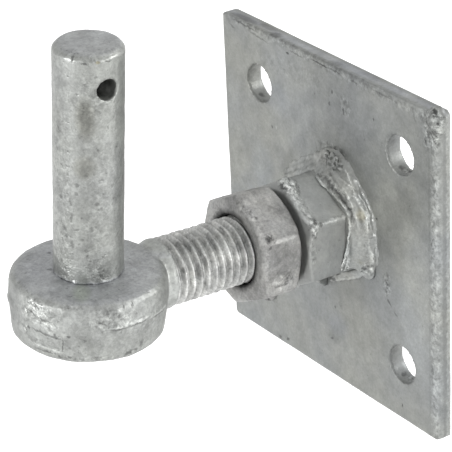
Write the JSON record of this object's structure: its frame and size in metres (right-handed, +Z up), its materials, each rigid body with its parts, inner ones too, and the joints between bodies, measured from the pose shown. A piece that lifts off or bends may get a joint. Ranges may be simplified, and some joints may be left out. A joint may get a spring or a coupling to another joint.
{
  "type": "adjustable hinge hook plate",
  "caption": "Square fixing plate with a welded nut, a threaded forged eye set out from it on a lock nut, and an upright hinge pin with a cross hole.",
  "frame": {"origin": "centre of the plate's back face, which meets the post", "axes": "+X out of the plate towards the eye, +Y to the right as the hook faces the viewer, +Z up along the plate"},
  "size_m": [0.1072, 0.1, 0.1284],
  "materials": {
    "back_plate": "hot-dip galvanised, smooth with fine specks",
    "weld_nut": "hot-dip galvanised",
    "nut_weld": "hot-dip galvanised over weld runs",
    "lock_nut": "hot-dip galvanised, dull",
    "eye_bolt": "hot-dip galvanised over forged scale",
    "hinge_pin": "hot-dip galvanised, spangled"
  },
  "bodies": {
    "plate": {"back_plate": "back_plate", "weld_nut": "weld_nut", "nut_weld": "nut_weld"},
    "lock_nut": {"lock_nut": "lock_nut"},
    "hook": {"eye_bolt": "eye_bolt", "hinge_pin": "hinge_pin"}
  },
  "joints": [
    {"name": "adjusting_turn", "type": "hinge", "parent": "plate", "child": "lock_nut", "pos_m": [0.02997, 0, 0.00141], "axis": [0.9989, 0, 0.0471], "range_deg": [-720, 1440]},
    {"name": "adjusting_travel", "type": "slide", "parent": "lock_nut", "child": "hook", "axis": [0.9989, 0, 0.0471], "range_m": [-0.00501, 0.01001]}
  ],
  "couplings": [
    {"joint": "adjusting_travel", "follows": "adjusting_turn", "m_per_rad": 0.00039789}
  ]
}
